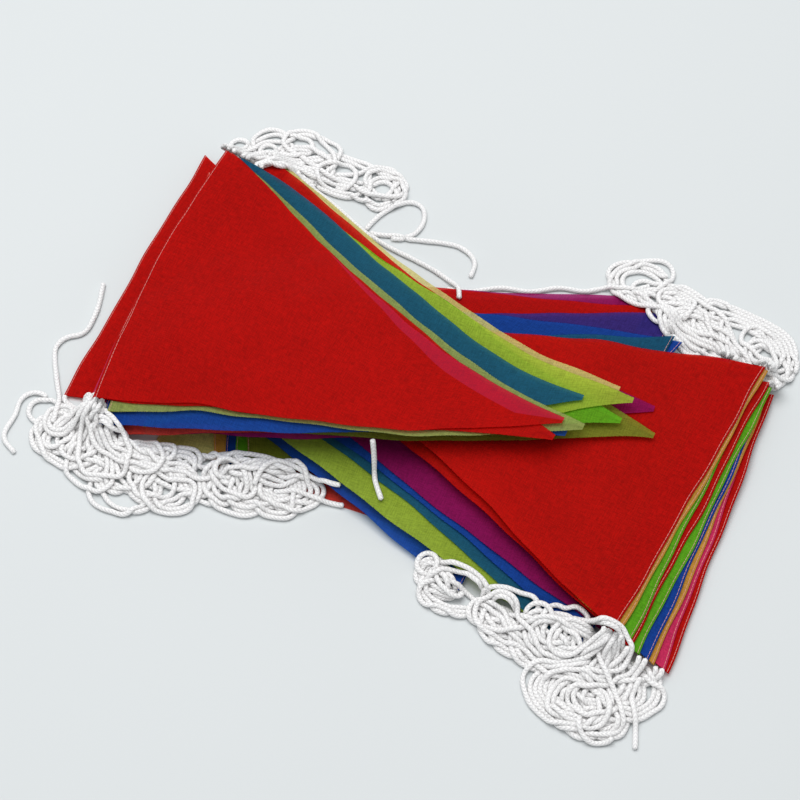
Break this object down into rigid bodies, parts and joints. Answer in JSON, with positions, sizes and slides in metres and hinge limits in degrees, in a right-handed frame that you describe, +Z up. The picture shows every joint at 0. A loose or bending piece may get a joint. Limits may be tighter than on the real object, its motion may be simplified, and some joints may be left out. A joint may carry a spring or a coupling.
{
  "type": "flag bunting",
  "caption": "Sheer triangular pennants in bright colours, put down as two fanned stacks that lie point over point, with white braided cord spilling out in loops",
  "frame": {"origin": "on the surface that the bunting lies on, under the middle of the pennants' box", "axes": "+Z is up; +X runs from the left stack's headings to the right stack's; +Y runs away from the side where the cord hangs over the front"},
  "size_m": [0.4934, 0.4506, 0.0504],
  "materials": {
    "cloth_red": "sheer plain weave, matt",
    "cloth_coral": "sheer plain weave, matt",
    "cloth_pink": "sheer plain weave, matt",
    "cloth_magenta": "sheer plain weave, matt",
    "cloth_purple": "sheer plain weave, matt",
    "cloth_blue": "sheer plain weave, matt",
    "cloth_teal": "sheer plain weave, matt",
    "cloth_green": "sheer plain weave, matt",
    "cloth_lime": "sheer plain weave, matt",
    "cloth_olive": "sheer plain weave, matt",
    "cloth_pale": "sheer plain weave, matt",
    "cloth_cream": "sheer plain weave, matt",
    "cloth_amber": "sheer plain weave, matt",
    "cord_white": "soft braided cord, matt"
  },
  "bodies": {
    "root": {"cord_back_end": "cord_white", "cord_back_loop": "cord_white", "cord_front_end": "cord_white", "cord_front_loop": "cord_white", "cord_hanging": "cord_white", "cord_left_loop": "cord_white", "cord_left_wisp": "cord_white", "cord_over_lower": "cord_white", "cord_over_upper": "cord_white", "cord_right_edge": "cord_white", "left_01_red": "cloth_red", "left_02_magenta": "cloth_magenta", "left_03_coral": "cloth_coral", "left_04_olive": "cloth_olive", "left_05_cream": "cloth_cream", "left_06_pink": "cloth_pink", "left_07_red": "cloth_red", "left_08_green": "cloth_green", "left_09_lime": "cloth_lime", "left_10_blue": "cloth_blue", "left_11_teal": "cloth_teal", "left_12_pale": "cloth_pale", "left_13_red": "cloth_red", "left_14_red": "cloth_red", "right_01_magenta": "cloth_magenta", "right_02_red": "cloth_red", "right_03_blue": "cloth_blue", "right_07_lime": "cloth_lime", "right_08_teal": "cloth_teal", "right_09_blue": "cloth_blue", "right_04_purple": "cloth_purple", "right_05_blue": "cloth_blue", "right_06_teal": "cloth_teal", "right_10_magenta": "cloth_magenta", "right_11_red": "cloth_red", "right_12_pink": "cloth_pink", "right_13_amber": "cloth_amber", "right_14_blue": "cloth_blue", "right_15_green": "cloth_green", "right_16_red": "cloth_red", "right_17_green": "cloth_green", "right_18_amber": "cloth_amber", "right_19_red": "cloth_red", "tangle_left_back": "cord_white", "tangle_left_front": "cord_white", "tangle_right_back": "cord_white", "tangle_right_front": "cord_white", "under_01_coral": "cloth_coral", "under_02_cream": "cloth_cream", "under_03_amber": "cloth_amber", "under_04_blue": "cloth_blue", "under_05_green": "cloth_green", "under_06_olive": "cloth_olive"}
  },
  "joints": []
}
